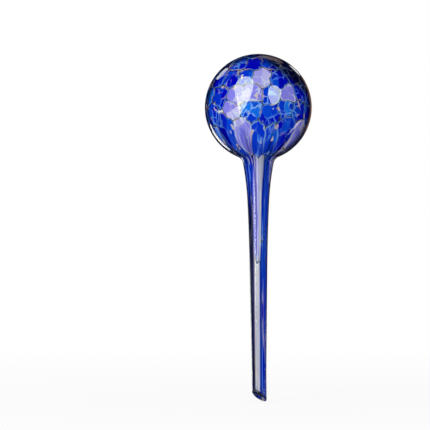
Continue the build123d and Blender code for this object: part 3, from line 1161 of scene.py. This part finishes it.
# %% The strips along the edge
oblong = [(215.6, 78.2), (226.8, 66.8), (228.8, 69.2), (217.8, 80.8)]
right_streak = [(301.5, 118.5), (301.8, 120.5), (292, 131.5), (286.5, 135.8), (290.5, 130.5)]
soft_box("tilted_box", *rounded(oblong), "f4f6f0", 3.4)
soft_box("right_streak", *rounded(right_streak), "f4f6f0", 4.0)
soft_box("left_crescent", *crescent(50.9, 1.9, 122, 162), "ffffff", 4.0)
soft_box("right_arc", *crescent(52.3, 1.2, -54, -37), "ffffff", 2.2)
soft_box("brown_band", *crescent(50.6, 3.2, -92, -60), "9a8478", 1.3)
soft_box("brown_rim", *crescent(52.7, 1.9, -38, 32), "84644e", 1.2)

# %% [markdown]
# ## The tent
# Glass shows what stands round it, so photographers put it in a tent of dark cloth, which gives
# the rims their dark line. Behind the globe this tent has a bright window. Towards the front, the
# left and the floor its cloth is lit, and that light reaches the colours through the clear glass.
# Only light that has passed through the glass meets the cloth. Light that a chip has thrown back
# finds it lit all round, so the chips' colours come out about as they are written.

# %% The tent's cloth
TENT_RADIUS = 3.4
LIT_FROM = (-0.45, -0.55, -0.25)
LIT_EDGE = (-0.45, 0.6)
LIT_SHARES = (0.02, 1.7)
WINDOW_EDGE = (0.7, 0.8)
BOUNCED_SHARE = 0.45

# Dark cloth, woven and hung: it gives the glass its black rims, and light only where it is lit.
cloth, add = new_material("tent_cloth")
direction = add("ShaderNodeNewGeometry", output="Position")
direction = add(VECTOR, (direction, 1 / TENT_RADIUS), operation="SCALE")
lit = add(VECTOR, (direction, LIT_FROM), operation="DOT_PRODUCT")
lit = add(RANGE, (lit, *LIT_EDGE, *LIT_SHARES), **SOFT)
window = add(RANGE, (add(XYZ, (direction,), "Y"), *WINDOW_EDGE), **SOFT)
lit = add(MATH, (lit, window), operation="MAXIMUM")
paths = add("ShaderNodeLightPath", output=None).outputs
bounced = add(MATH, (paths["Diffuse Depth"], BOUNCED_SHARE), operation="MULTIPLY")
lit = add(MATH, (lit, bounced), operation="MAXIMUM")
lit = add(MATH, (lit, paths["Is Transmission Ray"]), operation="MULTIPLY")
light = add("ShaderNodeEmission", {"Strength": lit})
add("ShaderNodeOutputMaterial", (light,), None)
print(cloth.name, "has", len(cloth.node_tree.nodes), "nodes")

# %% The tent
TENT_DIVISIONS = 4
tent = bmesh.new()
bmesh.ops.create_icosphere(tent, subdivisions=TENT_DIVISIONS, radius=TENT_RADIUS)
tent_mesh = bpy.data.meshes.new("dark_tent")
tent.to_mesh(tent_mesh)
tent.free()
tent_mesh.materials.append(cloth)
dark_tent = as_object("dark_tent", tent_mesh)
glossy_only(dark_tent)
dark_tent.visible_transmission = True
print("tent", round(2 * TENT_RADIUS, 1), "m wide,", len(tent_mesh.polygons), "faces")

# %% [markdown]
# ## Floor and backdrop
# The floor is plain and pale. A lit floor would need strong lamps to turn white, and they would
# bleach the globe. So the floor is nearly white for the camera's own rays and grows quite white
# further off, and only some of it is lit, which is enough to keep the globe's shadow.

# %% The floor
FLOOR_REACH = 3
FADE_EDGE = (0.1, 0.8)
FADE_SHARES = (0.88, 1.0)

# Painted board, matt: an even, nearly white ground that keeps a soft shadow.
floor_paint, add = new_material("pale_floor")
ground = add("ShaderNodeBsdfDiffuse", {"Color": shade("e8e8e8")})
even = add("ShaderNodeEmission", {"Color": shade("ffffff"), "Strength": 1.0})
distance = add("ShaderNodeNewGeometry", output="Position")
distance = add(VECTOR, (distance,), operation="LENGTH")
share = add(RANGE, (distance, *FADE_EDGE, *FADE_SHARES))
is_camera = add("ShaderNodeLightPath", output="Is Camera Ray")
share = add(MATH, (is_camera, share), operation="MULTIPLY")
surface = add("ShaderNodeMixShader", (share, ground, even))
add("ShaderNodeOutputMaterial", (surface,), None)

floor_mesh = bpy.data.meshes.new("floor")
floor_mesh.from_pydata([(-FLOOR_REACH, -FLOOR_REACH, 0), (FLOOR_REACH, -FLOOR_REACH, 0),
                        (FLOOR_REACH, FLOOR_REACH, 0), (-FLOOR_REACH, FLOOR_REACH, 0)],
                       [], [(0, 1, 2, 3)])
floor_mesh.materials.append(floor_paint)
floor = as_object("floor", floor_mesh)
floor.visible_glossy = False
floor.visible_transmission = False

# %% [markdown]
# The world is white for the camera, and for what it sees in or through glass. All other rays find
# it dimmer, so it lights the globe softly from every side and doesn't bleach it.

# %% The backdrop
AMBIENT = 0.55
world = bpy.data.worlds.new("studio")
bpy.context.scene.world = world
world.use_nodes = True
world.node_tree.nodes.clear()
add = partial(add_node, world.node_tree)
paths = add("ShaderNodeLightPath", output=None).outputs
seen = add(MATH, (paths["Is Camera Ray"], paths["Is Transmission Ray"]), operation="ADD")
seen = add(MATH, (seen, paths["Is Glossy Ray"]), operation="ADD", use_clamp=True)
strength = add(RANGE, {"Value": seen, "To Min": AMBIENT, "To Max": 1.0})
backdrop = add("ShaderNodeBackground", {"Color": shade("ffffff"), "Strength": strength})
add("ShaderNodeOutputWorld", {"Surface": backdrop}, None)
print("the world lights the globe at", AMBIENT, "of what the camera sees")

# %% [markdown]
# ## Lamps
# Two broad lamps, one from the left and a weaker one from the right, give the floor its soft
# shadow. They don't show in the glass, because the soft boxes already make every highlight.

# %% Lamps
LAMPS = (("key_lamp", (-1.2, -1.3, 1.5), 16, 1.0), ("fill_lamp", (1.4, -1.0, 0.9), 7, 1.2))

for name, lamp_place, power, width in LAMPS:
    lamp_data = bpy.data.lights.new(name, "AREA")
    lamp_data.energy = power
    lamp_data.size = width
    lamp = as_object(name, lamp_data)
    lamp.location = lamp_place
    lamp.rotation_euler = (Vector(lamp_place) - bulb_centre).to_track_quat("Z", "Y").to_euler()
    lamp.visible_glossy = False
    print(name, power, "W,", width, "m wide")
